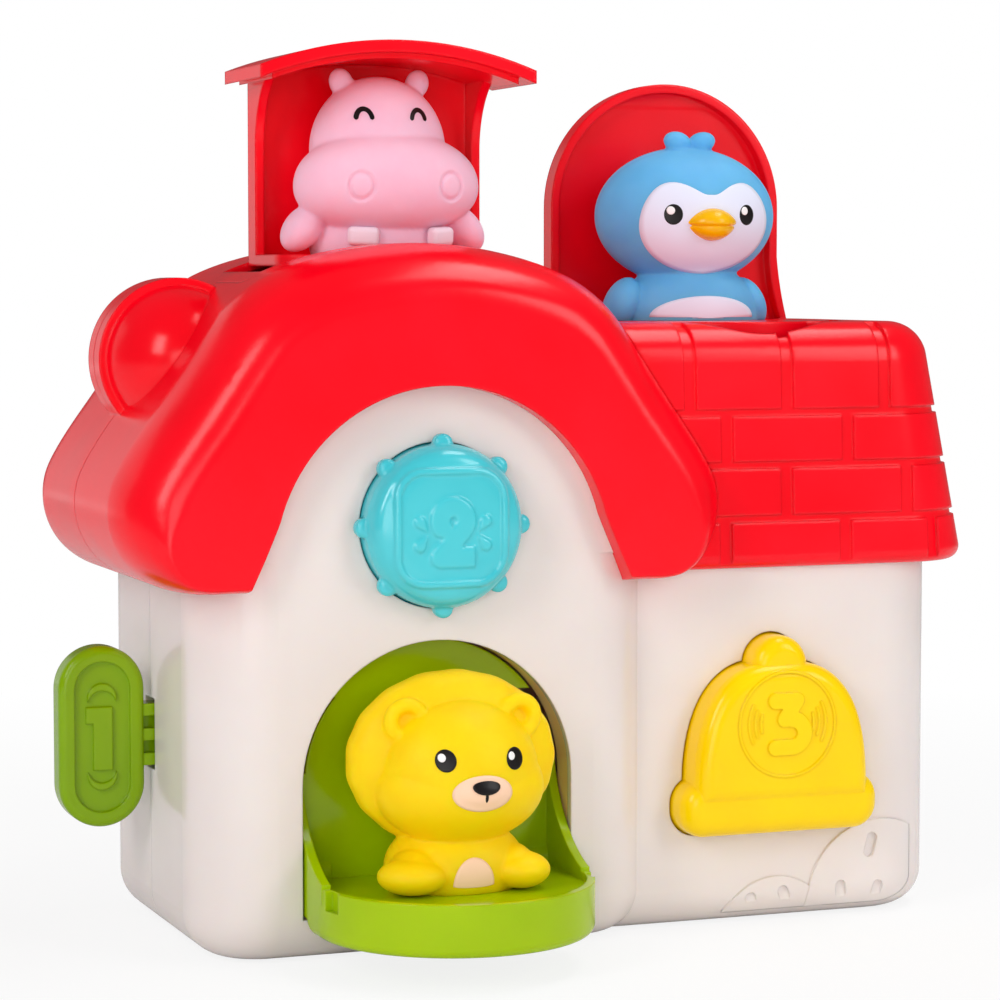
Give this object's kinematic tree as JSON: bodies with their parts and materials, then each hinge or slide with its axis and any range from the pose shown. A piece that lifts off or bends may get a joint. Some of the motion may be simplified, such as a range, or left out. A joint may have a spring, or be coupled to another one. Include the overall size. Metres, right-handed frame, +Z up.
{
  "type": "pop up animal toy",
  "caption": "House-shaped pop-up toy: push key, turn knob and bell button release a lion tray, a rising hippo lift and a tilting penguin roof flap.",
  "frame": {"origin": "middle of the body's width on the seam plane between front and rear shells, at the flat base", "axes": "+Z up, +Y towards the back, +X along the width from the key side to the bell side"},
  "size_m": [0.2507, 0.1573, 0.2373],
  "materials": {
    "roof_red": "high gloss, flecks of soft reflection",
    "shell_white": "satin moulded plastic",
    "leaf_green": "glossy moulded plastic",
    "knob_aqua": "satin gloss moulded plastic",
    "bell_yellow": "glossy moulded plastic",
    "lion_yellow": "soft matte vinyl",
    "hippo_pink": "soft matte vinyl",
    "penguin_blue": "soft matte vinyl",
    "beak_orange": "soft matte vinyl",
    "inner_grey": "plain moulded plastic",
    "steel": "plated steel"
  },
  "bodies": {
    "house": {"front_shell": "shell_white", "rear_shell": "shell_white", "shell_screws": "steel", "roof_front": "roof_red", "roof_rear": "roof_red", "roof_screws": "steel", "wing_roof_front": "roof_red", "wing_roof_rear": "roof_red", "wing_roof_screw": "steel", "inner_frame": "inner_grey", "frame_screws": "steel", "lift_guide_rods": "steel", "lift_spring": "steel", "lion_hinge_pin": "steel", "lion_spring": "steel", "penguin_hinge_pin": "steel", "penguin_spring": "steel", "lion_latch_pin": "steel", "penguin_latch_pin": "steel"},
    "lion_door": {"lion_tray": "leaf_green", "lion_figure": "lion_yellow"},
    "lion_catch": {"lion_latch": "inner_grey"},
    "key": {"key_1": "leaf_green", "key_spring": "steel"},
    "knob": {"knob_2": "knob_aqua", "knob_shaft": "inner_grey", "knob_clip": "steel", "knob_cam": "inner_grey", "knob_spring": "steel"},
    "hippo_catch": {"hippo_latch": "inner_grey"},
    "hippo_carrier": {"hippo_lift": "roof_red", "hippo_figure": "hippo_pink"},
    "penguin_carrier": {"penguin_flap": "roof_red", "penguin_figure": "penguin_blue", "penguin_beak": "beak_orange"},
    "penguin_catch": {"penguin_latch": "inner_grey"},
    "bell": {"bell_3": "bell_yellow", "bell_riser": "inner_grey", "bell_spring": "steel"}
  },
  "joints": [
    {"name": "lion_door_hinge", "type": "hinge", "parent": "house", "child": "lion_door", "pos_m": [-0.045, -0.0391, 0.0214], "axis": [1, 0, 0], "range_deg": [-90, 0], "stiffness_Nm_per_rad": 0.012, "springref_deg": 40.11},
    {"name": "key_press", "type": "slide", "parent": "house", "child": "key", "axis": [1, 0, 0], "range_m": [0, 0.0025], "stiffness_N_per_m": 400, "springref_m": -0.001},
    {"name": "lion_catch_pivot", "type": "hinge", "parent": "house", "child": "lion_catch", "pos_m": [-0.093, -0.02, 0.05], "axis": [0, 0, 1], "range_deg": [-7, 0]},
    {"name": "knob_turn", "type": "hinge", "parent": "house", "child": "knob", "pos_m": [-0.045, 0, 0.1116], "axis": [0, 1, 0], "range_deg": [-35, 35], "stiffness_Nm_per_rad": 0.02},
    {"name": "hippo_catch_slide", "type": "slide", "parent": "house", "child": "hippo_catch", "axis": [1, 0, 0], "range_m": [-0.0058, 0.0058]},
    {"name": "hippo_lift_slide", "type": "slide", "parent": "house", "child": "hippo_carrier", "axis": [0, 0, 1], "range_m": [-0.0533, 0], "stiffness_N_per_m": 30, "springref_m": 0.05, "deforming": ["lift_spring"]},
    {"name": "penguin_flap_hinge", "type": "hinge", "parent": "house", "child": "penguin_carrier", "pos_m": [0.0525, 0.029, 0.16], "axis": [1, 0, 0], "range_deg": [0, 90], "stiffness_Nm_per_rad": 0.016, "springref_deg": -103.13},
    {"name": "bell_press", "type": "slide", "parent": "house", "child": "bell", "axis": [0, 1, 0], "range_m": [0, 0.004], "stiffness_N_per_m": 300, "springref_m": -0.001},
    {"name": "penguin_catch_pivot", "type": "hinge", "parent": "house", "child": "penguin_catch", "pos_m": [0.069, 0, 0.092], "axis": [0, 0, 1], "range_deg": [-15.6, 0]}
  ],
  "couplings": [
    {"joint": "lion_catch_pivot", "follows": "key_press", "rad_per_m": -45.4},
    {"joint": "hippo_catch_slide", "follows": "knob_turn", "m_per_rad": -0.0094},
    {"joint": "penguin_catch_pivot", "follows": "bell_press", "rad_per_m": -66.7}
  ]
}
